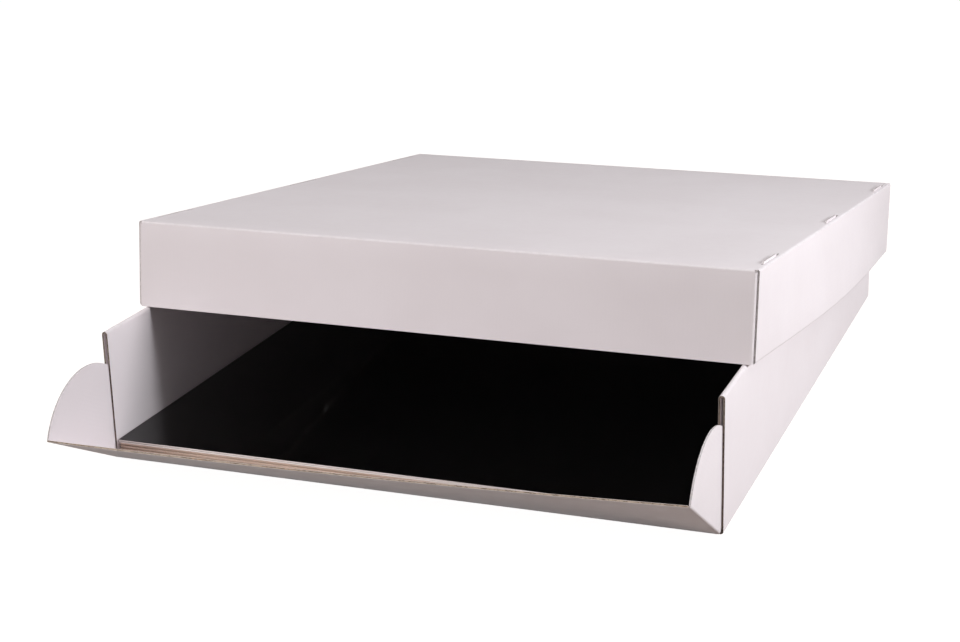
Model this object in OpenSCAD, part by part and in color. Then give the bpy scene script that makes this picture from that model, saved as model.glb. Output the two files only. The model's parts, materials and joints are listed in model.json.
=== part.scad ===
// Two-part corrugated cake box with a drop front and a stack of cake boards.
// The base tray stands on the table, its front flap is let down part of the way, and the
// lid is pushed back: its front wall stands on the tray's side walls and its top leans on
// the tray's back wall.
// Frame: X to the right, Y to the back, Z up. The origin is the middle of the underside of
// the base tray's floor.

/* [Corrugated board] */
// Thickness of the board that the tray and the lid are folded from
board_t = 1.5; // [1.2:0.1:2.4]
// Clearance on each side of a flap that stands between the two layers of a side wall
pocket_play = 0.25; // [0.2:0.05:0.8]
// Gap between a tucked-in edge and the panel that it meets
tuck_gap = 0.2; // [0.1:0.05:0.6]

/* [Base tray] */
// Clear width between the side walls
inner_w = 504; // [300:2:700]
// Clear depth from the closed front flap to the back wall
inner_d = 600; // [350:10:800]
// Height of the walls
wall_h = 108; // [95:1:160]

/* [Front flap] */
// Angle above the table at which the flap is let down
flap_angle = 27.5; // [5:0.5:85]
// Distance from the closed flap's free edge down from the top of the walls
flap_drop = 0.6; // [0.4:0.1:6]
// Running gap round the fold that the flap turns on
hinge_gap = 0.3; // [0.2:0.05:0.6]
// Gap between the closed flap and the front ends of the side walls
front_gap = 0.35; // [0.3:0.05:1]
// How far an ear reaches from the flap
ear_reach = 70; // [66:1:90]
// Radius of an ear's round edge
ear_r = 64; // [50:1:65]
// Gap between the ear's round edge and the top of its pocket
ear_top_gap = 0.4; // [0.3:0.1:2]
// Rise of an ear's lower edge for each millimetre that it reaches
ear_slope = 0.1; // [0.05:0.01:0.3]

/* [Lid] */
// Height of the lid's walls
lid_h = 72; // [40:1:85]
// Clearance between the closed lid and the base tray on each side
lid_play = 0.5; // [0.5:0.1:3]
// Distance from the front of the tray back to the lid's front wall
lid_set_back = 70; // [20:1:120]
// Gap between the perched lid and the walls that carry it
seat_gap = 0.3; // [0.2:0.05:0.6]

/* [Lock tabs] */
// Number of lock tabs along a side wall
tab_count = 3; // [2:1:5]
// Width of a lock tab
tab_w = 44; // [20:1:50]
// Length of the slot that a lock tab stands in
slot_l = 64; // [54:1:80]
// Distance from the end of a side wall to the middle of its end tab
tab_end = 60; // [45:1:90]
// How far the lid's tabs stand proud of its top
lid_tab_stand = 2.5; // [0:0.1:6]

/* [Corner flaps] */
// How far a corner flap reaches into the side wall's pocket
corner_flap_l = 55; // [30:1:90]
// How far each long edge of a corner flap closes in towards its end
corner_flap_taper = 6; // [2:1:12]

/* [Cake boards] */
// Thickness of a laminated cake board
cake_board_t = 1.5; // [1:0.5:5]
// Thickness of a corrugated pad below the boards
pad_t = 2.5; // [1.5:0.5:7]
// Clearance between the boards and the walls round them
stack_play = 1; // [0.5:0.5:5]
// How far the pads lie behind the boards' front edge
pad_set_back = 1.5; // [0:0.5:6]
// Gap between two boards of the stack
stack_gap = 0.1; // [0.05:0.05:0.5]

/* [Hidden] */

// Width of the pocket between the layers of a side wall, and the wall's full thickness
pocket_w = board_t + 2 * pocket_play;
double_t = 2 * board_t + pocket_w;

// Outer sizes of the tray, and the planes of its front fold and back wall
tray_w = inner_w + 2 * double_t;
front_y = -inner_d / 2;
back_y = inner_d / 2;

// Outer sizes of the lid, which covers the closed flap as well as the back wall
lid_clear_w = tray_w + 2 * lid_play;
lid_w = lid_clear_w + 2 * double_t;
lid_d = inner_d + 4 * board_t + 2 * lid_play;

// The perched lid: its front wall's lower inner edge stands at lid_foot_y, and its top
// leans on the upper outer edge of the tray's back wall
lid_foot_y = front_y + lid_set_back;
lid_seat_z = wall_h + seat_gap;
lid_tilt = asin((lid_h - board_t) / (back_y + board_t - lid_foot_y));
lid_y = lid_foot_y - board_t * cos(lid_tilt) + lid_h * sin(lid_tilt);
lid_z = lid_seat_z + board_t * sin(lid_tilt) + lid_h * cos(lid_tilt);

// The flap, measured from the fold that it turns on
flap_h = wall_h - board_t - flap_drop;
flap_half_w = tray_w / 2 - board_t - pocket_play;

// The ear's round edge is an arc that clears the top of the pocket as it swings
ear_swing = wall_h - 2 * board_t - ear_top_gap;
ear_centre_v = ear_reach - ear_r;
ear_centre_u = sqrt(pow(ear_swing - ear_r, 2) - pow(ear_centre_v, 2));

// The stack's levels, counted from the floor up
pad_count = 4;
stack_w = inner_w - 2 * stack_play;
stack_d = inner_d - 2 * stack_play;

// Straight steps in a quarter fold of a side wall
fold_steps = 4;
// Cutting solids run past the faces that they cut by this much
over = 1;
$fn = 96;

function pad_z(i) = board_t + i * stack_gap + (i - 1) * pad_t;
function under_board_z() = pad_z(pad_count + 1);
function cake_board_z() = under_board_z() + cake_board_t + stack_gap;

// Points of a quarter fold with centre c, from angle a in steps to angle a + turn
function fold_arc(c, a, turn) = [
    for (i = [0:fold_steps])
        let (t = a + turn * i / fold_steps)
        [c[0] + board_t * cos(t), c[1] + board_t * sin(t)]
];

// Section of a rolled-over side wall: distance inwards from its outer face, and height.
// The outer layer rises from the floor's fold, turns over the top and comes down inside.
function wall_outline(h) = concat(
    fold_arc([board_t, board_t], 270, -90),
    fold_arc([board_t, h - board_t], 180, -90),
    fold_arc([board_t + pocket_w, h - board_t], 90, -90),
    [
        [double_t, board_t + tuck_gap],
        [board_t + pocket_w, board_t + tuck_gap],
        [board_t + pocket_w, h - board_t],
        [board_t, h - board_t],
        [board_t, board_t]
    ]
);

// Runs the rolled-over wall along Y on the +X side
module side_wall(y_from, y_to, half_w, h) {
    translate([half_w, y_to, 0])
        rotate([90, 0, 0])
            linear_extrude(y_to - y_from, convexity = 6)
                mirror([1, 0])
                    polygon(wall_outline(h));
}

// Does a thing on the +X side and again on the -X side
module both_sides() {
    children();
    mirror([1, 0, 0])
        children();
}

// Plan of a single end panel with a quarter fold at each end, its inner face on Y = 0
module end_panel_plan(half_w) {
    translate([-(half_w - board_t), -board_t])
        square([2 * (half_w - board_t), board_t]);
    for (side = [-1, 1])
        intersection() {
            translate([side * (half_w - board_t), 0])
                circle(board_t);
            translate([-half_w, -board_t])
                square([2 * half_w, board_t]);
        }
}

// A quarter fold along X, from the panel below Y = 0 to the panel above Z = 0
module quarter_fold(length) {
    rotate([90, 0, 90])
        linear_extrude(length, center = true)
            intersection() {
                circle(board_t);
                translate([-board_t, -board_t])
                    square(board_t);
            }
}

// Outline of a corner flap: how far it reaches back from the end wall, and height.
// Its upper and lower edges close in towards its end, so that it finds its pocket.
function corner_flap_outline(h) = [
    [0, board_t + tuck_gap],
    [0, h - board_t - tuck_gap],
    [corner_flap_l, h - board_t - tuck_gap - corner_flap_taper],
    [corner_flap_l, board_t + tuck_gap + corner_flap_taper]
];

// Front wall of a sheet that stands up from its floor, with both corner flaps folded back
// into the side walls' pockets. Its inner face is on Y = 0, and the floor lies behind it.
module end_wall(half_w, h) {
    panel_half_w = half_w - board_t - pocket_play;
    fold_l = 2 * (panel_half_w - board_t);
    translate([0, 0, board_t + tuck_gap])
        linear_extrude(h - board_t - tuck_gap)
            end_panel_plan(panel_half_w);
    translate([-fold_l / 2, -board_t, board_t])
        cube([fold_l, board_t, tuck_gap]);
    translate([0, 0, board_t])
        quarter_fold(fold_l);
    both_sides()
        translate([panel_half_w - board_t, 0, 0])
            rotate([90, 0, 90])
                linear_extrude(board_t)
                    polygon(corner_flap_outline(h));
}

// Lock tabs and their slots: the middles of the tabs along a wall of the given length
function tab_places(length) = [
    for (i = [0:tab_count - 1])
        tab_end + (length - 2 * tab_end) * i / (tab_count - 1)
];

module lock_slots(half_w, length) {
    for (y = tab_places(length))
        translate([half_w - double_t - tuck_gap, y - slot_l / 2, -over])
            cube([board_t + 2 * tuck_gap, slot_l, board_t + 2 * over]);
}

// A tab narrows a little towards its tip and ends at the depth stand below the floor
module lock_tabs(half_w, length, stand) {
    root_z = board_t + tuck_gap;
    for (y = tab_places(length))
        translate([half_w - double_t, y, root_z])
            rotate([90, 0, 90])
                linear_extrude(board_t)
                    polygon([
                        [-tab_w / 2, over], [-tab_w / 2, -board_t],
                        [-tab_w / 2 + board_t, -root_z - stand],
                        [tab_w / 2 - board_t, -root_z - stand],
                        [tab_w / 2, -board_t], [tab_w / 2, over]
                    ]);
}

// One folded sheet, seen as an open tray: floor, two rolled-over side walls, a single back
// wall and, where closed_front is true, a single front wall. Y runs from the outer face of
// the front (or from the front fold's plane) to the outer face of the back.
module folded_tray(half_w, depth, h, closed_front, stand) {
    wall_from = closed_front ? 0 : front_gap;
    floor_from = closed_front ? board_t : front_gap;
    back_face = depth - board_t;
    difference() {
        union() {
            translate([-(half_w - board_t), floor_from, 0])
                cube([2 * (half_w - board_t), back_face - floor_from, board_t]);
            both_sides()
                side_wall(wall_from, depth, half_w, h);
        }
        both_sides() {
            lock_slots(half_w, depth);
            corner_relief(half_w, h, back_face - tuck_gap, depth + over);
            if (closed_front)
                corner_relief(half_w, h, -over, board_t + tuck_gap);
        }
    }
    both_sides()
        lock_tabs(half_w, depth, stand);
    translate([0, back_face, 0])
        mirror([0, 1, 0])
            end_wall(half_w, h);
    if (closed_front)
        translate([0, board_t, 0])
            end_wall(half_w, h);
}

// Room for an end wall's fold: the inner layer and the rolled top stop short of it, and
// only the outer layer runs on to the corner
module corner_relief(half_w, h, y_from, y_to) {
    translate([half_w - board_t - double_t, y_from, board_t])
        cube([double_t, y_to - y_from, h]);
}

module base_tray() {
    color("whitesmoke")
        difference() {
            translate([0, front_y, 0])
                folded_tray(tray_w / 2, inner_d + board_t, wall_h, false, 0);
            translate([0, front_y, board_t])
                rotate([0, 90, 0])
                    cylinder(h = tray_w - 2 * board_t, r = board_t + hinge_gap, center = true);
        }
}

// Outline of an ear: u along the flap from its fold, v away from the flap
module ear_plan() {
    intersection() {
        translate([ear_centre_u, ear_centre_v])
            circle(ear_r);
        polygon([
            [board_t, 0], [flap_h, 0], [flap_h, ear_reach],
            [board_t + ear_slope * ear_reach, ear_reach]
        ]);
    }
}

// The closed flap with its fold on the X axis: the panel stands on the fold's quarter round
module closed_flap() {
    linear_extrude(flap_h)
        end_panel_plan(flap_half_w);
    quarter_fold(2 * (flap_half_w - board_t));
    both_sides()
        translate([flap_half_w - board_t, 0, 0])
            rotate([90, 0, 90])
                linear_extrude(board_t)
                    mirror([1, -1])
                        ear_plan();
}

module front_flap() {
    color("gainsboro")
        translate([0, front_y, board_t])
            rotate([90 - flap_angle, 0, 0])
                closed_flap();
}

module lid() {
    color("white")
        translate([0, lid_y, lid_z])
            rotate([-lid_tilt, 0, 0])
                mirror([0, 0, 1])
                    folded_tray(lid_w / 2, lid_d, lid_h, true, lid_tab_stand);
}

// A flat board of the stack: its set-back from the front of the stack, level and thickness
module stack_board(set_back, z, thickness) {
    translate([-stack_w / 2, front_y + stack_play + set_back, z])
        cube([stack_w, stack_d - set_back, thickness]);
}

module cake_board() {
    color("black")
        stack_board(0, cake_board_z(), cake_board_t);
}

module under_board() {
    color("ivory")
        stack_board(0, under_board_z(), cake_board_t);
}

module pad(i) {
    color("tan")
        stack_board(pad_set_back, pad_z(i), pad_t);
}

base_tray();
front_flap();
lid();
cake_board();
under_board();
pad(1);  // pad_1
pad(2);  // pad_2
pad(3);  // pad_3
pad(4);  // pad_4
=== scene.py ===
# %% [markdown]
# A large corrugated cake box, as a bakery uses it. The base tray is one folded sheet with
# rolled-over side walls and a front flap that drops down, so that a cake can slide out. The
# lid is a second folded sheet, pushed back and perched on the tray. Cake boards and
# corrugated pads lie in the tray. Sheet goods can be cut from solid blocks, but a box gets
# its look from its folds and raw edges, so here each sheet is folded up as on a bench: a
# flat panel first, then its edges turned round each crease, and the thickness last.

# %% Load the frame
import json
import math
import bmesh
import bpy
from mathutils import Matrix, Vector


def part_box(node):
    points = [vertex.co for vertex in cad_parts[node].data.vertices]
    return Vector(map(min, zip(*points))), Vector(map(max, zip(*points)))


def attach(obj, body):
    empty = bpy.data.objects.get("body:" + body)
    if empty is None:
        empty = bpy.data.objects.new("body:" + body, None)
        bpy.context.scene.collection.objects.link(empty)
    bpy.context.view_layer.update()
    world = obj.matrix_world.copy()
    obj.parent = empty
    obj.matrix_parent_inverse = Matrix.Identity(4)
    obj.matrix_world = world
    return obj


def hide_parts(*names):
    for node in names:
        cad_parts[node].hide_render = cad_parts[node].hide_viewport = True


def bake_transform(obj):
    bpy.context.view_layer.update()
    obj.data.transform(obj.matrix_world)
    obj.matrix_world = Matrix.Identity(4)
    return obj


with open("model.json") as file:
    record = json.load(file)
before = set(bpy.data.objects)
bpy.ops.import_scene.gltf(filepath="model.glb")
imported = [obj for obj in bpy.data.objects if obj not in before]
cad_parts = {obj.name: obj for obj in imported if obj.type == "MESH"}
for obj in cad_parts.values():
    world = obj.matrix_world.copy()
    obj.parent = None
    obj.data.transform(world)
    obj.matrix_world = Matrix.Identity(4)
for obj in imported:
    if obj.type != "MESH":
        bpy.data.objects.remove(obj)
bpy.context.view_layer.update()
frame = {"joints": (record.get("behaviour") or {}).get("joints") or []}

# %% [markdown]
# The sizes of the boards come first. The outer sizes are read from the frame, so the looks
# always fit it. The thickness of the board and the clearances round a fold are the few
# values that a box maker would write on the drawing.

# %% Sizes of the sheets
MM = 0.001
hair = 0.01 * MM
board_t = 1.5 * MM
pocket_w = 2.0 * MM
double_t = 2 * board_t + pocket_w
tuck_gap = 0.2 * MM
front_gap = 0.35 * MM

tray_low, tray_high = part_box("base_tray")
tray_half_w = tray_high.x
tray_depth = tray_high.y - tray_low.y + front_gap
wall_h = tray_high.z

lid_play = 0.5 * MM
lid_h = 72 * MM
lid_half_w = tray_half_w + lid_play + double_t
lid_depth = tray_depth + 3 * board_t + 2 * lid_play

# Radii of the creases, measured at the middle of the board.
crease_r = 1.3 * MM
roll_r = 1.7 * MM
corner_r = 1.0 * MM
print("tray", tray_half_w, tray_depth, wall_h, "lid", lid_half_w, lid_depth, lid_h)

# %% [markdown]
# A few helpers stand in for what a hand does in edit mode. A panel is a plane primitive, a
# crease is made with the spin tool, which turns an edge round the crease's centre, and a
# panel grows by extruding an edge. Edges are chosen by their place, and a creased edge stays
# selected, so that the next panel starts from it.

# %% Helpers for folding a sheet
def deselect_all():
    """Leaves object mode with nothing selected."""
    if bpy.context.object and bpy.context.object.mode == "EDIT":
        bpy.ops.object.mode_set(mode="OBJECT")
    for thing in bpy.context.selected_objects:
        thing.select_set(False)


def flat_panel(name, x_range, y_range, z):
    """Adds a level rectangle and opens it in edit mode."""
    deselect_all()
    middle = (sum(x_range) / 2, sum(y_range) / 2, z)
    bpy.ops.mesh.primitive_plane_add(size=1, location=middle)
    piece = bpy.context.object
    piece.name = name
    piece.scale = (x_range[1] - x_range[0], y_range[1] - y_range[0], 1)
    bpy.ops.object.transform_apply(location=True, rotation=True, scale=True)
    bpy.ops.object.mode_set(mode="EDIT")
    bpy.ops.mesh.select_mode(type="EDGE")
    return piece


def select_edges(piece, test):
    """Selects the edges whose two ends both pass the test, and says how many."""
    bpy.ops.mesh.select_all(action="DESELECT")
    mesh = bmesh.from_edit_mesh(piece.data)
    chosen = [edge for edge in mesh.edges if all(test(v.co) for v in edge.verts)]
    for edge in chosen:
        edge.select_set(True)
    bmesh.update_edit_mesh(piece.data)
    return len(chosen)


def select_faces(piece, test):
    """Selects the faces whose middle passes the test, and says how many."""
    bpy.ops.mesh.select_all(action="DESELECT")
    mesh = bmesh.from_edit_mesh(piece.data)
    chosen = [face for face in mesh.faces if test(face.calc_center_median())]
    for face in chosen:
        face.select_set(True)
    bmesh.update_edit_mesh(piece.data)
    return len(chosen)


def near(a, b, within=0.05 * MM):
    return abs(a - b) < within


def cut_across(axis, places):
    """Scores the whole flat sheet with a line at each place along the axis."""
    normal = Vector((0, 0, 0))
    normal[axis] = 1
    for place in places:
        bpy.ops.mesh.select_all(action="SELECT")
        bpy.ops.mesh.bisect(plane_co=normal * place, plane_no=normal)


def grow(reach, rows=1):
    """Extrudes the selected edges by a vector, in equal rows."""
    step = Vector(reach) / rows
    for _ in range(rows):
        bpy.ops.mesh.extrude_region_move(TRANSFORM_OT_translate={"value": step})


def crease(centre, axis, turn=90, steps=5):
    """Turns the selected edges round a crease's centre by an angle in degrees.
    The spin tool counts its angle the other way round from Matrix.Rotation."""
    bpy.ops.mesh.spin(steps=steps, angle=-math.radians(turn), center=centre, axis=axis)


# %% [markdown]
# The floor of each sheet is scored into a grid. The score lines run past the ends of the
# lock slots and tabs, and a few more keep every patch of board small enough to bend a little
# later. The sheet is the same on the left and the right, so only its right half is folded
# and a Mirror modifier gives the other.

# %% The flat floor with its lock slots
tab_w = 44 * MM
slot_before_tab = 4 * MM
slot_after_tab = 12 * MM
notch_h = 5 * MM
first_tab = 52 * MM
last_tab_from_end = 60 * MM
patch = 44 * MM


def tab_places(depth):
    """The middles of the three lock tabs along a side wall."""
    last_tab = depth - last_tab_from_end
    return [first_tab, (first_tab + last_tab) / 2, last_tab]


def score_places(needed, start, end):
    """The needed places, with more between them so that no stretch is over a patch long."""
    fixed = sorted([start, *needed, end])
    places = []
    for a, b in zip(fixed, fixed[1:]):
        parts = max(1, math.ceil((b - a) / patch))
        places += [a + (b - a) * i / parts for i in range(1, parts + 1)]
    return places[:-1]


def scored_floor(name, half_w, depth, closed_front):
    """Half of a sheet's floor, scored, with the lock slots cut out."""
    x_fold = half_w - board_t / 2 - crease_r
    fold_back = board_t / 2 + crease_r
    y_range = (fold_back if closed_front else front_gap, depth - fold_back)
    piece = flat_panel(name, (0, x_fold), y_range, board_t / 2)
    slot_x = (half_w - double_t - tuck_gap, corner_x(half_w))
    tabs = [(y - tab_w / 2, y + tab_w / 2) for y in tab_places(depth)]
    slots = [(start - slot_before_tab, end + slot_after_tab) for start, end in tabs]
    cut_across(0, score_places(slot_x, 0, x_fold))
    cut_across(1, score_places([y for pair in tabs + slots for y in pair], *y_range))

    def in_slot(middle):
        in_length = any(start < middle.y < end for start, end in slots)
        return slot_x[0] < middle.x < slot_x[1] and in_length

    print(name, "slot patches", select_faces(piece, in_slot))
    bpy.ops.mesh.delete(type="FACE")
    return piece


def corner_x(half_w):
    """Where an end wall's side crease starts, so that its corner flap finds the pocket."""
    return half_w - board_t - (pocket_w - board_t) / 2 - board_t / 2 - corner_r


# %% [markdown]
# A side wall is one long strip. It turns up at the floor, rises, rolls over the top in two
# creases and comes down inside, where its tabs lock into the floor, each with a notch beside
# it that lets the tab be pushed into its slot. The rolled top gives this kind of tray its
# stiff, round-edged walls. Boxes could stand for the two layers, but then the open pocket
# between them, which shows at the front, would be missing.

# %% Roll the side wall over
def rolled_side_wall(piece, half_w, depth, h, tab_stand):
    x_fold = half_w - board_t / 2 - crease_r
    x_roll = half_w - board_t / 2 - roll_r
    z_roll = h - board_t / 2 - roll_r
    x_inner = half_w - double_t + board_t / 2
    select_edges(piece, lambda v: near(v.x, x_fold))
    crease((x_fold, 0, board_t / 2 + crease_r), (0, -1, 0))
    grow((0, 0, z_roll - board_t / 2 - crease_r), rows=4)
    crease((x_roll, 0, z_roll), (0, -1, 0))
    grow((x_inner + roll_r - x_roll, 0, 0))
    crease((x_inner + roll_r, 0, z_roll), (0, -1, 0))
    z_end = board_t + tuck_gap
    grow((0, 0, z_end + notch_h - z_roll), rows=4)
    grow((0, 0, -notch_h))
    tab_ends = [y + tab_w / 2 for y in tab_places(depth)]

    def in_notch(middle):
        beside_tab = any(end < middle.y < end + slot_after_tab for end in tab_ends)
        return near(middle.x, x_inner) and middle.z < z_end + notch_h and beside_tab

    print(piece.name, "notch patches", select_faces(piece, in_notch))
    bpy.ops.mesh.delete(type="FACE")
    for y in tab_places(depth):
        def in_tab(v):
            return near(v.z, z_end) and near(v.x, x_inner) and abs(v.y - y) < tab_w / 2 + 0.1 * MM

        count = select_edges(piece, in_tab)
        grow((0, 0, -board_t))
        grow((0, 0, -tuck_gap - tab_stand))
        bpy.ops.transform.resize(value=(1, 1 - 2 * board_t / tab_w, 1), center_override=(0, y, 0))
        print(piece.name, "tab at", round(y, 4), "from", count, "edges")


# %% [markdown]
# The back wall, and the lid's front wall, are single panels. Each has a corner flap at
# either side, which turns into the pocket of the side wall and holds the corner together.
# The outer layer of the side wall stops just short of the corner, so the round of the flap's
# crease shows there, with a thin dark line behind it, and the floor reaches a little further
# to close the corner.

# %% Fold up an end wall with its corner flap
corner_flap_l = 55 * MM
corner_flap_taper = 6 * MM
outer_layer_reach = 0.1
top_strip_reach = 0.6


def end_wall(piece, half_w, y_face, outwards, h):
    """Folds up a wall whose outer face is at y_face. Outwards is +1 at the back, -1 in front."""
    y_fold = y_face - outwards * (board_t / 2 + crease_r)
    y_wall = y_face - outwards * board_t / 2
    x_turn = corner_x(half_w)
    x_flap = x_turn + corner_r
    z_fold = board_t / 2 + crease_r

    def floor_edge(v):
        return near(v.y, y_fold) and near(v.z, board_t / 2) and v.x < x_turn + hair

    select_edges(piece, floor_edge)
    crease((0, y_fold, z_fold), (outwards, 0, 0))
    grow((0, 0, h - z_fold), rows=4)

    def wall_end(v):
        return near(v.x, x_turn) and near(v.y, y_wall) and v.z > z_fold - hair

    select_edges(piece, wall_end)
    crease((x_turn, y_wall - outwards * corner_r, 0), (0, 0, -outwards))
    grow((0, -outwards * corner_flap_l, 0), rows=2)
    shrink = 1 - 2 * corner_flap_taper / (h - z_fold)
    middle = (x_flap, y_wall, (h + z_fold) / 2)
    bpy.ops.transform.resize(value=(1, 1, shrink), center_override=middle)

    z_roll = h - board_t / 2 - roll_r

    def outer_layer_end(v):
        return near(v.y, y_fold) and v.x > x_turn - hair and v.z < z_roll + hair

    select_edges(piece, outer_layer_end)
    grow((0, (y_face - y_fold) * outer_layer_reach, 0))
    y_end = y_fold + (y_face - y_fold) * outer_layer_reach

    def corner_strip(v):
        return near(v.y, y_end) and near(v.z, board_t / 2) and v.x > x_turn - hair

    select_edges(piece, corner_strip)
    grow((0, (y_face - y_fold) * top_strip_reach, 0))


# %% [markdown]
# A folded sheet gets its thickness from Solidify, centred on the folded surface, and the
# modifier's rim becomes the raw cut edge with a finish of its own. Before that, a small
# rule may ease the sheet, because board never stays quite flat. A map called board then
# says, at each point, how far it lies across the flutes and how deep in the thickness, which
# is all that the finish needs to draw the flutes on a raw edge.

# %% Thickness, normals and the board map
def flutes_along_y(v):
    """Distance across the flutes where they run from front to back."""
    return v.z - abs(v.x)


def flutes_upright(v):
    """Distance across the flutes where they stand upright, as in an end wall."""
    return v.x + v.y


def apply_modifier(piece, kind, **settings):
    modifier = piece.modifiers.new(kind.title(), kind)
    for name, value in settings.items():
        setattr(modifier, name, value)
    bpy.ops.object.modifier_apply(modifier=modifier.name)


def finish_sheet(piece, materials, across, ease=None):
    """Mirrors, eases and thickens a half sheet, maps it and gives it its finishes."""
    deselect_all()
    bpy.context.view_layer.objects.active = piece
    piece.select_set(True)
    apply_modifier(piece, "MIRROR", merge_threshold=hair)
    bpy.ops.object.mode_set(mode="EDIT")
    bpy.ops.mesh.select_all(action="SELECT")
    bpy.ops.mesh.remove_doubles(threshold=hair)
    bpy.ops.mesh.normals_make_consistent(inside=False)
    bpy.ops.object.mode_set(mode="OBJECT")
    flat_places = [v.co.copy() for v in piece.data.vertices]
    is_crease = [max(map(abs, face.normal)) < 0.995 for face in piece.data.polygons]
    if ease:
        for vertex in piece.data.vertices:
            vertex.co += ease(vertex.co)
    for material in materials:
        piece.data.materials.append(material)
    flag = piece.data.attributes.new("crease", "FLOAT", "FACE")
    flag.data.foreach_set("value", [float(c) for c in is_crease])
    apply_modifier(
        piece, "SOLIDIFY", thickness=board_t, offset=0, use_even_offset=True, material_offset_rim=1
    )
    write_board_map(piece, flat_places, across)
    bpy.ops.object.shade_smooth_by_angle(angle=math.radians(35))


def write_board_map(piece, flat_places, across):
    """Solidify keeps the first layer's vertices in order and adds the second layer's after."""
    count = len(flat_places)
    board_map = piece.data.uv_layers.new(name="board")
    for face in piece.data.polygons:
        middle = sum((flat_places[i % count] for i in face.vertices), Vector()) / len(face.vertices)
        rule = across(middle)
        for loop in face.loop_indices:
            vertex = piece.data.loops[loop].vertex_index
            depth_in_board = 0.0 if vertex < count else 1.0
            board_map.data[loop].uv = (rule(flat_places[vertex % count]), depth_in_board)


# %% [markdown]
# Now the finishes. The outside of the board is white clay-coated paper with a faint warm
# pink cast. It is not flat: the flutes below telegraph through as fine ripples 3.4 mm apart,
# the paper has a felt of fibres, the coat is a little uneven in colour and gloss, and it is
# duller where it is creased. A picture could hold all this, but nodes stay sharp at any
# distance. The ripples read the board map, so they follow each panel's own flutes.

# %% Node helpers
def new_material(name):
    """A material with only its Principled shader and its output."""
    material = bpy.data.materials.new(name)
    material.use_nodes = True
    return material, material.node_tree.nodes["Principled BSDF"]


def add_node(material, kind, settings=None, **inputs):
    """Adds a node, sets its properties and fills or links its inputs by name."""
    node = material.node_tree.nodes.new(kind)
    for name, value in (settings or {}).items():
        setattr(node, name, value)
    for name, value in inputs.items():
        socket = node.inputs[int(name[1:])] if name[0] == "_" else node.inputs[name.replace("_", " ")]
        if isinstance(value, bpy.types.NodeSocket):
            material.node_tree.links.new(value, socket)
        else:
            socket.default_value = value
    return node


def link(material, source, target):
    material.node_tree.links.new(source, target)


def calculate(material, operation, a, b=0.0, clamp=False):
    """One Math node, and its result."""
    settings = {"operation": operation, "use_clamp": clamp}
    return add_node(material, "ShaderNodeMath", settings, _0=a, _1=b).outputs[0]


def noise(material, scale, detail=2.0, roughness=0.5):
    """Noise in metres on the object's own coordinates, from 0 to 1."""
    place = add_node(material, "ShaderNodeTexCoord").outputs["Object"]
    node = add_node(
        material, "ShaderNodeTexNoise", Vector=place, Scale=scale, Detail=detail, Roughness=roughness
    )
    return node.outputs["Fac"]


def blend_colours(material, share, first, second):
    """A mix of two colours by a share from 0 to 1."""
    node = add_node(material, "ShaderNodeMix", {"data_type": "RGBA"}, _0=share, _6=first, _7=second)
    return node.outputs[2]


def spread(material, value, low, high, to_low=0.0, to_high=1.0):
    """Stretches the part of a value between low and high over a new range."""
    node = add_node(
        material, "ShaderNodeMapRange", {"interpolation_type": "SMOOTHSTEP"},
        Value=value, _1=low, _2=high, _3=to_low, _4=to_high
    )
    return node.outputs[0]


def bump(material, height, distance, strength=1.0, below=None):
    """A bump from a height of 0 to 1, over another bump if one is given."""
    node = add_node(material, "ShaderNodeBump", Height=height, Distance=distance, Strength=strength)
    if below:
        link(material, below, node.inputs["Normal"])
    return node.outputs["Normal"]


def board_coordinates(material):
    """Distance across the flutes in metres, and depth in the board from 0 to 1."""
    board_map = add_node(material, "ShaderNodeUVMap", {"uv_map": "board"}).outputs["UV"]
    parts = add_node(material, "ShaderNodeSeparateXYZ", Vector=board_map)
    return parts.outputs["X"], parts.outputs["Y"]


def flute_wave(material, across, pitch):
    """The flutes' wave, from 0 to 1."""
    angle = calculate(material, "MULTIPLY", across, 2 * math.pi / pitch)
    sine = calculate(material, "SINE", angle)
    return spread(material, sine, -1.0, 1.0)


# %% White coated board
flute_pitch = 3.4 * MM


def white_board_material(name, tint, shade):
    material, shader = new_material(name)
    across, _ = board_coordinates(material)
    ripple = flute_wave(material, across, flute_pitch)
    fibre = noise(material, 1600, detail=4, roughness=0.65)
    cloud = noise(material, 9, detail=3)
    mottle = noise(material, 120, detail=3)
    creased = add_node(material, "ShaderNodeAttribute", {"attribute_name": "crease"}).outputs["Fac"]
    worn = calculate(material, "MULTIPLY", creased, spread(material, noise(material, 260), 0.35, 0.7))
    colour = blend_colours(material, spread(material, cloud, 0.3, 0.7), tint, shade)
    fibre_share = calculate(material, "MULTIPLY", spread(material, fibre, 0.45, 0.75), 0.10)
    colour = blend_colours(material, fibre_share, colour, (0.62, 0.58, 0.57, 1))
    worn_share = calculate(material, "MULTIPLY", worn, 0.12)
    colour = blend_colours(material, worn_share, colour, (0.50, 0.46, 0.44, 1))
    link(material, colour, shader.inputs["Base Color"])
    gloss = spread(material, mottle, 0.3, 0.7, 0.54, 0.64)
    link(material, gloss, shader.inputs["Roughness"])
    normal = bump(material, ripple, 0.012 * MM)
    normal = bump(material, fibre, 0.02 * MM, below=normal)
    normal = bump(material, noise(material, 14), 1.2 * MM, strength=0.5, below=normal)
    link(material, normal, shader.inputs["Normal"])
    shader.inputs["Specular IOR Level"].default_value = 0.25
    return material


white_tint = (0.80, 0.730, 0.748, 1)
white_shade = (0.775, 0.703, 0.720, 1)
tray_white = white_board_material("tray_white", white_tint, white_shade)
lid_white = white_board_material("lid_white", white_tint, white_shade)
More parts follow.
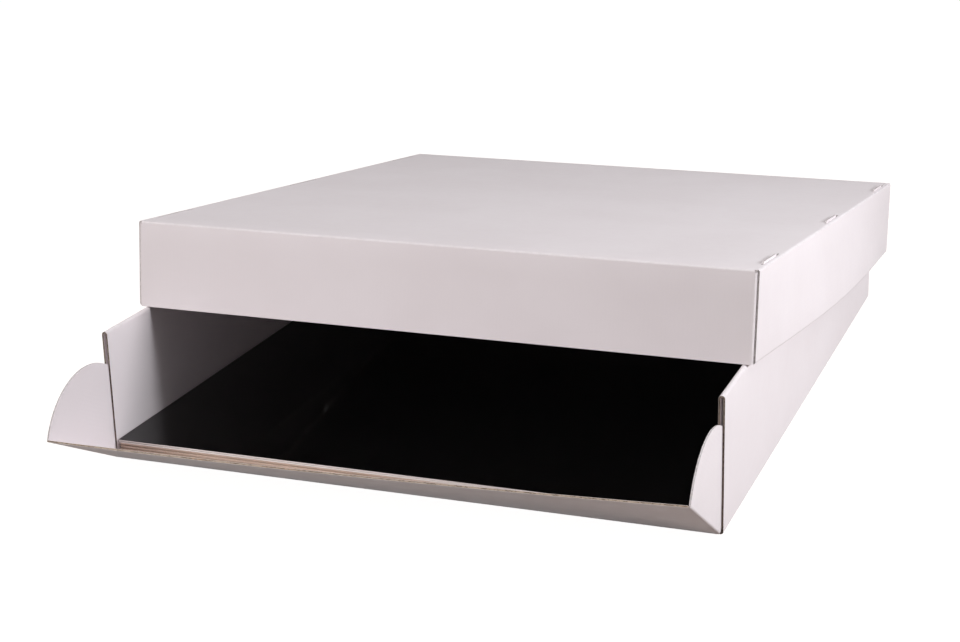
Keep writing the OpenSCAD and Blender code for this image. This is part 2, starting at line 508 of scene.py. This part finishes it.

# %% [markdown]
# A raw edge shows the board's build: a white coated liner on each face, and between them the
# fluted brown paper, with painted shade in the hollows on either side. The wave of the flutes
# is drawn from the board map. Where a cut runs along the flutes, the map's distance doesn't
# change and the same nodes give the long lines that such an edge has. The cuts differ in
# colour: the flap's free edge is fresh tan, the ends of the tray's walls are a copy of it
# darkened as painted shade, the ears' are grey, the die left the lid's edges nearly white, and
# the front end of the lid's right wall has a grey copy of that edge, again as painted shade.

# %% Raw edge of corrugated board
def raw_edge_material(name, pitch, stain, paper, dark, liner, coat):
    material, shader = new_material(name)
    across, depth = board_coordinates(material)
    wobble = calculate(material, "MULTIPLY", noise(material, 300), 0.35 * MM)
    across = calculate(material, "ADD", across, wobble)
    wave = spread(material, flute_wave(material, across, pitch), 0.0, 1.0, 0.2, 0.8)
    off_wave = calculate(material, "ABSOLUTE", calculate(material, "SUBTRACT", depth, wave))
    in_hollow = spread(material, off_wave, 0.09, 0.17)
    off_middle = calculate(material, "ABSOLUTE", calculate(material, "SUBTRACT", depth, 0.5))
    in_liner = spread(material, off_middle, 0.33, 0.38)
    in_coat = spread(material, off_middle, 0.43, 0.47)
    crushed = spread(material, noise(material, 420, detail=4), 0.42, 0.62)
    # Painted shade: the hollows between the flute and the liners take the dark colour, except where
    # the noise closes them.
    shaded_hollow_share = calculate(material, "MULTIPLY", in_hollow, crushed)
    fibre = noise(material, 2600, detail=4, roughness=0.7)
    tone = blend_colours(material, spread(material, fibre, 0.3, 0.7), paper, [c * 0.72 for c in paper])
    browner = calculate(material, "MULTIPLY", spread(material, noise(material, 45), 0.55, 0.7), stain)
    tone = blend_colours(material, browner, tone, (paper[0], paper[1] * 0.72, paper[2] * 0.55, 1))
    colour = blend_colours(material, shaded_hollow_share, tone, dark)
    colour = blend_colours(material, in_liner, colour, liner)
    colour = blend_colours(material, in_coat, colour, coat)
    link(material, colour, shader.inputs["Base Color"])
    shader.inputs["Roughness"].default_value = 0.9
    shader.inputs["Specular IOR Level"].default_value = 0.2
    height = calculate(material, "SUBTRACT", 1.0, calculate(material, "MULTIPLY", shaded_hollow_share, 0.8))
    normal = bump(material, height, 0.3 * MM)
    normal = bump(material, fibre, 0.06 * MM, below=normal)
    link(material, normal, shader.inputs["Normal"])
    return material


# The ends of the tray's walls: the flap's tan edge darkened as painted shade, with the same random
# brown stains.
shaded_tray_edge = raw_edge_material(
    "shaded_tray_edge", flute_pitch, stain=0.5,
    paper=(0.24, 0.18, 0.145, 1), dark=(0.055, 0.04, 0.035, 1),
    liner=(0.28, 0.235, 0.21, 1), coat=(0.52, 0.47, 0.46, 1),
)
tan_edge = raw_edge_material(
    "tan_edge", flute_pitch, stain=0.5,
    paper=(0.52, 0.41, 0.33, 1), dark=(0.20, 0.155, 0.125, 1),
    liner=(0.62, 0.53, 0.47, 1), coat=(0.78, 0.71, 0.71, 1),
)
pale_edge = raw_edge_material(
    "pale_edge", flute_pitch, stain=0.0,
    paper=(0.72, 0.655, 0.65, 1), dark=(0.55, 0.50, 0.49, 1),
    liner=(0.78, 0.71, 0.72, 1), coat=(0.80, 0.73, 0.74, 1),
)
ear_edge = raw_edge_material(
    "ear_edge", flute_pitch, stain=0.0,
    paper=(0.70, 0.64, 0.65, 1), dark=(0.46, 0.42, 0.42, 1),
    liner=(0.74, 0.67, 0.68, 1), coat=(0.79, 0.72, 0.73, 1),
)
# A darker grey copy of the lid's pale edge, as painted shade on the front end of the lid's right wall.
shaded_lid_edge = raw_edge_material(
    "shaded_lid_edge", flute_pitch, stain=0.1,
    paper=(0.44, 0.40, 0.395, 1), dark=(0.24, 0.215, 0.21, 1),
    liner=(0.50, 0.455, 0.455, 1), coat=(0.72, 0.66, 0.67, 1),
)

# %% [markdown]
# The tray is folded from the helpers above. It is left true and square, because the ears of
# the front flap have to swing in its pockets.

# %% Base tray
def sheet_flutes(half_w, depth, closed_front):
    """Picks the direction of the flutes from the place of a patch of board."""
    def rule(v):
        at_back = v.y > depth - board_t / 2 - crease_r
        at_front = closed_front and v.y < board_t / 2 + crease_r
        in_flap = v.y > depth - 2 * corner_flap_l or (closed_front and v.y < 2 * corner_flap_l)
        in_pocket = near(abs(v.x), corner_x(half_w) + corner_r)
        return flutes_upright if at_back or at_front or (in_flap and in_pocket) else flutes_along_y

    return rule


def folded_tray(name, half_w, depth, h, closed_front, tab_stand, materials, ease=None):
    piece = scored_floor(name, half_w, depth, closed_front)
    rolled_side_wall(piece, half_w, depth, h, tab_stand)
    end_wall(piece, half_w, depth, 1, h)
    if closed_front:
        end_wall(piece, half_w, 0, -1, h)
    finish_sheet(piece, materials, sheet_flutes(half_w, depth, closed_front), ease)
    return piece


def put_in_place(piece, placing):
    """Moves the finished mesh to its place and leaves the object at the origin."""
    deselect_all()
    bpy.context.view_layer.objects.active = piece
    piece.select_set(True)
    piece.matrix_world = placing
    bpy.ops.object.transform_apply(location=True, rotation=True, scale=True)


def report(piece):
    low = [round(min(v.co[i] for v in piece.data.vertices), 4) for i in range(3)]
    high = [round(max(v.co[i] for v in piece.data.vertices), 4) for i in range(3)]
    print(piece.name, "faces", len(piece.data.polygons), "from", low, "to", high)


tray = folded_tray(
    "folded_base_tray", tray_half_w, tray_depth, wall_h, False, 0.0, [tray_white, shaded_tray_edge]
)
front_y = tray_low.y - front_gap
put_in_place(tray, Matrix.Translation((0, front_y, 0)))
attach(tray, "tray")
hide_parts("base_tray")
report(tray)

# %% [markdown]
# The lid is folded the same way, upside down, and then turned over and set down: its front
# wall stands on the tray's side walls and its top leans on the tray's back wall. Nothing
# holds the lower edges of its long side walls between the corners, and they belly outwards.
# The lock tabs stand proud along the right side only. Those on the left have slipped down
# flush with the top.

# %% Lid
belly = 9.5 * MM
lid_tab_stand = 1.7 * MM
sunk_share = 0.95


def ease_lid(v):
    """Bows the side walls' free edges outwards, and sinks the left wall's tabs in their slots."""
    if abs(v.x) < lid_half_w - 2 * double_t:
        return Vector((0, 0, 0))
    if v.x > 0 and v.z < 0:
        return Vector((0, 0, -v.z * sunk_share))
    along = min(max(v.y / lid_depth, 0.0), 1.0)
    bow = belly * math.sin(math.pi * along) ** 1.2 * max(v.z, 0.0) / lid_h
    return Vector((math.copysign(bow, v.x), 0, 0))


lid_finishes = [lid_white, pale_edge, shaded_lid_edge]
lid = folded_tray(
    "folded_lid", lid_half_w, lid_depth, lid_h, True, lid_tab_stand, lid_finishes, ease_lid
)
# Painted shade: the front end of the right wall's outer layer takes the darker grey copy of the edge
# finish.
for face in lid.data.polygons:
    in_right_layer = face.center.x < board_t - lid_half_w and face.center.y < 2 * crease_r
    if face.material_index == 1 and in_right_layer and face.normal.y < -0.5:
        face.material_index = 2
seat_gap = 0.3 * MM
lid_set_back = 70 * MM
lid_foot_y = front_y + lid_set_back
tray_back_y = tray_high.y
lid_tilt = math.asin((lid_h - board_t) / (tray_back_y - lid_foot_y))
lid_origin = Vector((
    0,
    lid_foot_y - board_t * math.cos(lid_tilt) + lid_h * math.sin(lid_tilt),
    wall_h + seat_gap + board_t * math.sin(lid_tilt) + lid_h * math.cos(lid_tilt),
))
turn_over = Matrix.Rotation(math.pi, 4, "Y")
tilt_back = Matrix.Rotation(-lid_tilt, 4, "X")
put_in_place(lid, Matrix.Translation(lid_origin) @ tilt_back @ turn_over)
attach(lid, "lid")
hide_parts("lid")
report(lid)

# %% [markdown]
# The front flap is part of the tray's sheet and turns on its crease. Each end carries a
# quarter-round ear, which swings in the pocket of the side wall and guides the flap. The
# ear's outline is an arc round a centre near the middle of the flap's height, so it starts
# as a circle primitive and is bisected along the crease and its lower edge. Then the crease
# is spun and the panel is extruded to the middle of the box.

# %% Front flap with its ears
ear_r = 64 * MM
ear_reach = 70 * MM
ear_slope = 0.1
flap_drop = 0.6 * MM
ear_top_gap = 0.4 * MM
flap_h = wall_h - board_t - flap_drop
ear_swing = wall_h - 2 * board_t - ear_top_gap
ear_centre_y = ear_reach - ear_r
ear_centre_z = math.sqrt((ear_swing - ear_r) ** 2 - ear_centre_y ** 2)
ear_x = corner_x(tray_half_w) + corner_r
flap_half_w = ear_x + board_t / 2


def ear_disc(name):
    """The ear's circle, upright in the plane of the ear, cut along its two straight edges."""
    deselect_all()
    centre = (ear_x, ear_centre_y, ear_centre_z)
    bpy.ops.mesh.primitive_circle_add(
        vertices=96, radius=ear_r, fill_type="NGON", location=centre, rotation=(0, math.radians(90), 0)
    )
    piece = bpy.context.object
    piece.name = name
    bpy.ops.object.transform_apply(location=True, rotation=True, scale=True)
    bpy.ops.object.mode_set(mode="EDIT")
    bpy.ops.mesh.select_mode(type="EDGE")
    root_y = corner_r - board_t / 2
    cuts = [((0, root_y, 0), (0, 1, 0)), ((0, 0, board_t), (0, -ear_slope, 1))]
    for place, normal in cuts:
        bpy.ops.mesh.select_all(action="SELECT")
        bpy.ops.mesh.bisect(plane_co=place, plane_no=normal, clear_inner=True)
    return piece, root_y


flap, root_y = ear_disc("folded_front_flap")
print("ear root edges", select_edges(flap, lambda v: near(v.y, root_y)))
bpy.ops.mesh.subdivide(number_cuts=3)
select_edges(flap, lambda v: near(v.y, root_y))
crease((corner_x(tray_half_w), root_y, 0), (0, 0, -1))
grow((-corner_x(tray_half_w), 0, 0), rows=12)
root_top = max(v.co.z for v in bmesh.from_edit_mesh(flap.data).verts if near(v.co.x, 0))
root_foot = min(v.co.z for v in bmesh.from_edit_mesh(flap.data).verts if near(v.co.x, 0))
panel_edge = corner_x(tray_half_w) + hair
select_edges(flap, lambda v: near(v.z, root_top, hair) and v.x < panel_edge)
grow((0, 0, flap_h - root_top))
select_edges(flap, lambda v: near(v.z, root_foot, hair) and v.x < panel_edge)
grow((0, 0, -root_foot))
crease((0, 0, 0), (1, 0, 0))
finish_sheet(flap, [tray_white, tan_edge, ear_edge], lambda v: flutes_upright)
for face in flap.data.polygons:
    if face.material_index == 1 and abs(face.center.x) > panel_edge:
        face.material_index = 2
bpy.ops.object.mode_set(mode="EDIT")
bpy.ops.mesh.select_all(action="SELECT")
bpy.ops.mesh.remove_doubles(threshold=hair)
bpy.ops.object.mode_set(mode="OBJECT")

# %% [markdown]
# The flap hangs part of the way down, and it is twisted: its right end stands about six
# degrees higher than its left. When it is closed the board straightens, so each point of the
# flap takes a share of the turn, set by a smooth blend along the width, and the share that it
# misses is its twist. The blend starts far out to the right, so the right end still follows
# nine tenths of the turn.

# %% Let the flap down and twist it
flap_joint = next(joint for joint in frame["joints"] if joint["name"] == "flap_fold")
flap_axis = Vector(flap_joint["pos_m"])
closing = math.radians(flap_joint["range_deg"][1])
blend_start_x = 2.42
blend_from = Vector((blend_start_x, front_y, 0))
blend_to = Vector((-flap_half_w, front_y, 0))


def lag(x):
    """How much of the turn a point at x misses, which is also its twist at rest."""
    share = min(max((blend_from.x - x) / (blend_from.x - blend_to.x), 0.0), 1.0)
    return 1 - share * share * (3 - 2 * share)


for vertex in flap.data.vertices:
    let_down = closing * (1 - lag(vertex.co.x))
    vertex.co = flap_axis + Matrix.Rotation(let_down, 3, "X") @ vertex.co
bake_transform(flap)
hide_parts("front_flap")
report(flap)

# %% [markdown]
# The top board is a cake board: pale solid board with a glossy black film on its face. The
# second board is the same without the film. Plain slabs would melt into one another, so each
# slab's lower edge is cut under, which draws the dark line below it, and its corners and its
# upper edge are bevelled.

# %% Black film and pale board
film_colour = (0.0008, 0.0008, 0.0008, 1)
dust_colour = (0.02, 0.02, 0.02, 1)


def black_film_material():
    material, shader = new_material("black_film")
    dust = spread(material, noise(material, 900, detail=3), 0.66, 0.78)
    cloud = noise(material, 40, detail=2)
    dust_share = calculate(material, "MULTIPLY", dust, 0.25)
    colour = blend_colours(material, dust_share, film_colour, dust_colour)
    link(material, colour, shader.inputs["Base Color"])
    link(material, spread(material, cloud, 0.3, 0.7, 0.05, 0.09), shader.inputs["Roughness"])
    shader.inputs["Specular IOR Level"].default_value = 0.25
    normal = bump(material, noise(material, 260, detail=2), 0.03 * MM, strength=0.4)
    link(material, normal, shader.inputs["Normal"])
    return material


def paper_material(name, light, dark, fibre_scale, roughness=0.85):
    material, shader = new_material(name)
    fibre = noise(material, fibre_scale, detail=5, roughness=0.7)
    cloud = noise(material, 30, detail=3)
    colour = blend_colours(material, spread(material, fibre, 0.3, 0.72), light, dark)
    cloud_share = calculate(material, "MULTIPLY", spread(material, cloud, 0.35, 0.7), 0.35)
    colour = blend_colours(material, cloud_share, colour, [c * 0.85 for c in dark])
    link(material, colour, shader.inputs["Base Color"])
    shader.inputs["Roughness"].default_value = roughness
    shader.inputs["Specular IOR Level"].default_value = 0.25
    link(material, bump(material, fibre, 0.05 * MM), shader.inputs["Normal"])
    return material


black_film = black_film_material()
pale_core = paper_material("pale_core", (0.86, 0.80, 0.77, 1), (0.74, 0.67, 0.63, 1), 1800)
kraft = paper_material("kraft_paper", (0.80, 0.65, 0.55, 1), (0.64, 0.49, 0.40, 1), 1200)

# %% Cake boards
undercut_h = 0.5 * MM
undercut = 0.9 * MM
corner_round = 0.8 * MM
edge_round = 0.12 * MM
rim_reach = 1 * MM


def cake_board_piece(name, node, film):
    """A slab with its lower edges cut under, and a film or liner on its upper face."""
    low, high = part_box(node)
    piece = flat_panel(name, (low.x, high.x), (low.y, high.y), high.z)
    cut_across(0, score_places([], low.x, high.x))
    cut_across(1, score_places([], low.y, high.y))
    bpy.ops.mesh.select_all(action="SELECT")
    upright = low.z - high.z + undercut_h
    bpy.ops.mesh.extrude_region_move(TRANSFORM_OT_translate={"value": (0, 0, upright)})
    bpy.ops.mesh.extrude_region_move(TRANSFORM_OT_translate={"value": (0, 0, -undercut_h)})
    shrink = (1 - 2 * undercut / (high.x - low.x), 1 - 2 * undercut / (high.y - low.y), 1)
    bpy.ops.transform.resize(value=shrink, center_override=(low + high) / 2)
    bpy.ops.mesh.select_all(action="SELECT")
    bpy.ops.mesh.normals_make_consistent(inside=False)

    def corner(v):
        at_side = abs(v.x) > high.x - undercut - hair
        return at_side and (v.y < low.y + undercut + hair or v.y > high.y - undercut - hair)

    select_edges(piece, corner)
    bpy.ops.mesh.bevel(offset=corner_round, segments=2)

    def rim(v):
        at_side = abs(v.x) > high.x - rim_reach
        at_end = v.y > high.y - rim_reach or v.y < low.y + rim_reach
        return near(v.z, high.z) and (at_side or at_end)

    select_edges(piece, rim)
    bpy.ops.mesh.bevel(offset=edge_round, segments=1)
    bpy.ops.object.mode_set(mode="OBJECT")
    for material in (film, pale_core):
        piece.data.materials.append(material)
    for face in piece.data.polygons:
        face.material_index = 0 if face.normal.z > 0.7 else 1
    bpy.ops.object.shade_smooth_by_angle(angle=math.radians(35))
    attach(piece, "tray")
    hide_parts(node)
    report(piece)
    return piece


top_board = cake_board_piece("film_cake_board", "cake_board", black_film)
second_board = cake_board_piece("plain_cake_board", "under_board", pale_core)

# %% [markdown]
# Below the boards lie corrugated pads. Their flutes run across the box, so the wave shows at
# their side edges and plain lines at the front, where the cut has crushed the last flute
# shut. Each pad is two liners with a real wave of paper between them, extruded step by step
# along a sine, because a flat block would look wrong from the side.

# %% Corrugated pads
pad_pitch = 6.6 * MM
paper_t = 0.35 * MM
wave_steps = 8
first_recess = 0.3 * MM
lower_recess = 1.6 * MM
bottom_set_back = 0.9 * MM


def paper_sheet(name, x_range, y_range, z):
    """A level sheet of paper with thickness, left in object mode."""
    piece = flat_panel(name, x_range, y_range, z)
    bpy.ops.object.mode_set(mode="OBJECT")
    apply_modifier(piece, "SOLIDIFY", thickness=paper_t, offset=0)
    return piece


def fluted_sheet(name, x_range, y_range, z, height):
    """A sheet that waves from front to back, with its flutes along X and its front end shut."""
    waves = round((y_range[1] - y_range[0]) / pad_pitch)
    steps = waves * wave_steps
    step = (y_range[1] - y_range[0]) / steps
    piece = flat_panel(name, x_range, (y_range[0], y_range[0] + step), z)
    select_edges(piece, lambda v: near(v.y, y_range[0] + step, hair))
    grow((0, y_range[1] - y_range[0] - step, 0), rows=steps - 1)
    select_edges(piece, lambda v: near(v.y, y_range[0], hair))
    grow((0, 0, height))
    bpy.ops.object.mode_set(mode="OBJECT")
    for vertex in piece.data.vertices:
        turn = 2 * math.pi * waves * (vertex.co.y - y_range[0]) / (y_range[1] - y_range[0])
        vertex.co.z -= height / 2 * math.cos(turn)
    bpy.ops.object.mode_set(mode="EDIT")
    bpy.ops.mesh.select_all(action="SELECT")
    bpy.ops.mesh.normals_make_consistent(inside=False)
    bpy.ops.object.mode_set(mode="OBJECT")
    apply_modifier(piece, "SOLIDIFY", thickness=paper_t, offset=0)
    return piece


def corrugated_pad(name, node, recess):
    """Two liners and the wave between them, joined into one piece."""
    low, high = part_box(node)
    x_range = (low.x, high.x)
    y_range = (low.y, high.y)
    bottom_range = (low.y + recess + bottom_set_back, high.y)
    bottom = paper_sheet(name + "_bottom", x_range, bottom_range, low.z + paper_t / 2)
    top = paper_sheet(name + "_top", x_range, y_range, high.z - paper_t / 2)
    wave_h = high.z - low.z - 3 * paper_t
    wave_range = (low.y + recess, high.y)
    wave = fluted_sheet(name, x_range, wave_range, (low.z + high.z) / 2, wave_h)
    deselect_all()
    for part in (bottom, top, wave):
        part.select_set(True)
    bpy.context.view_layer.objects.active = wave
    bpy.ops.object.join()
    wave.data.materials.clear()
    wave.data.materials.append(kraft)
    bpy.ops.object.shade_smooth_by_angle(angle=math.radians(40))
    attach(wave, "tray")
    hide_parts(node)
    return wave


for number in range(1, 5):
    recess = first_recess if number == 1 else lower_recess
    report(corrugated_pad(f"corrugated_pad_{number}", f"pad_{number}", recess))

# %% [markdown]
# The box stands on a white studio table. The floor is a plane that takes the box's soft
# shadow. Its own colour is a dim warm grey, so that little light bounces back on the box,
# and where the camera looks it is lifted to white, so the table has no edge. Mirror-like
# rays see that white too, but diffuse ones don't, so it doesn't brighten the board.

# %% Studio floor and world
floor_size = 16
floor_drop = 0.2 * MM
floor_colour = (0.21, 0.165, 0.14, 1)
floor_lift = 0.965
world_light = 0.145
white = (1, 1, 1, 1)


def studio_floor():
    deselect_all()
    bpy.ops.mesh.primitive_plane_add(size=floor_size, location=(0, 0, -floor_drop))
    floor = bpy.context.object
    floor.name = "studio_floor"
    material = bpy.data.materials.new("studio_white")
    material.use_nodes = True
    nodes = material.node_tree.nodes
    nodes.clear()
    output = add_node(material, "ShaderNodeOutputMaterial")
    paper = add_node(material, "ShaderNodeBsdfDiffuse", Color=floor_colour)
    rays = add_node(material, "ShaderNodeLightPath")
    seen = calculate(material, "ADD", rays.outputs["Is Camera Ray"], rays.outputs["Is Glossy Ray"])
    seen = calculate(material, "ADD", seen, rays.outputs["Is Transmission Ray"], True)
    lift = calculate(material, "MULTIPLY", seen, floor_lift)
    glow = add_node(material, "ShaderNodeEmission", Color=white, Strength=lift)
    both = add_node(material, "ShaderNodeAddShader", _0=paper.outputs[0], _1=glow.outputs[0])
    link(material, both.outputs[0], output.inputs["Surface"])
    floor.data.materials.append(material)
    return floor


def studio_world(strength):
    world = bpy.data.worlds.new("studio")
    bpy.context.scene.world = world
    world.use_nodes = True
    tree = world.node_tree
    tree.nodes.clear()
    output = add_node(world, "ShaderNodeOutputWorld")
    rays = add_node(world, "ShaderNodeLightPath")
    seen = calculate(world, "ADD", rays.outputs["Is Camera Ray"], rays.outputs["Is Glossy Ray"], True)
    seen = calculate(world, "ADD", seen, rays.outputs["Is Transmission Ray"], True)
    light = add_node(world, "ShaderNodeBackground", Color=white, Strength=strength)
    backdrop = add_node(world, "ShaderNodeBackground", Color=white, Strength=1.0)
    mix = add_node(world, "ShaderNodeMixShader", _0=seen, _1=light.outputs[0], _2=backdrop.outputs[0])
    link(world, mix.outputs[0], output.inputs["Surface"])


studio_floor()
studio_world(world_light)

# %% [markdown]
# The strongest light on the right faces comes from a small soft box on the right. It stands
# so near that its light falls off towards the left, as it does on the real box. A lamp above
# lights the top, one in front keeps the front wall light grey, and almost nothing lights the
# underside of the flap.

# %% Soft boxes
def soft_box(name, place, target, size, power, colour=(1, 1, 1)):
    lamp = bpy.data.lights.new(name, "AREA")
    lamp.color = colour
    lamp.shape = "SQUARE"
    lamp.size = size
    lamp.energy = power
    holder = bpy.data.objects.new(name, lamp)
    bpy.context.scene.collection.objects.link(holder)
    holder.location = place
    aim = Vector(target) - Vector(place)
    holder.rotation_euler = aim.to_track_quat("-Z", "Y").to_euler()


box_middle = (0, 0, 0.1)
cool_white = (0.93, 0.97, 1.0)
soft_box("key_right", (1.6, -0.13, 0.7), box_middle, 0.36, 22, cool_white)
soft_box("top_light", (0.9, 0, 2.6), box_middle, 2.0, 18)
soft_box("front_fill", (-1.3, -2.3, 1.4), box_middle, 1.6, 55)

# %% [markdown]
# The camera's place was worked out from the box's own edges: a long lens, low in front and
# to the right of the box, with a slight lean.

# %% Camera
camera_place = (0.5632, -1.5621, 0.5922)
camera_turn = math.radians(21.315)
camera_dip = math.radians(-18.174)
camera_roll = math.radians(-1.576)
camera_data = bpy.data.cameras.new("camera")
camera_data.sensor_width = 36
camera_data.lens = 72.165
camera = bpy.data.objects.new("camera", camera_data)
bpy.context.scene.collection.objects.link(camera)
aim = Matrix.Rotation(camera_turn, 4, "Z") @ Matrix.Rotation(math.pi / 2 + camera_dip, 4, "X")
camera.matrix_world = Matrix.Translation(camera_place) @ aim @ Matrix.Rotation(camera_roll, 4, "Z")
bpy.context.scene.camera = camera
bpy.context.scene.view_settings.view_transform = "Standard"
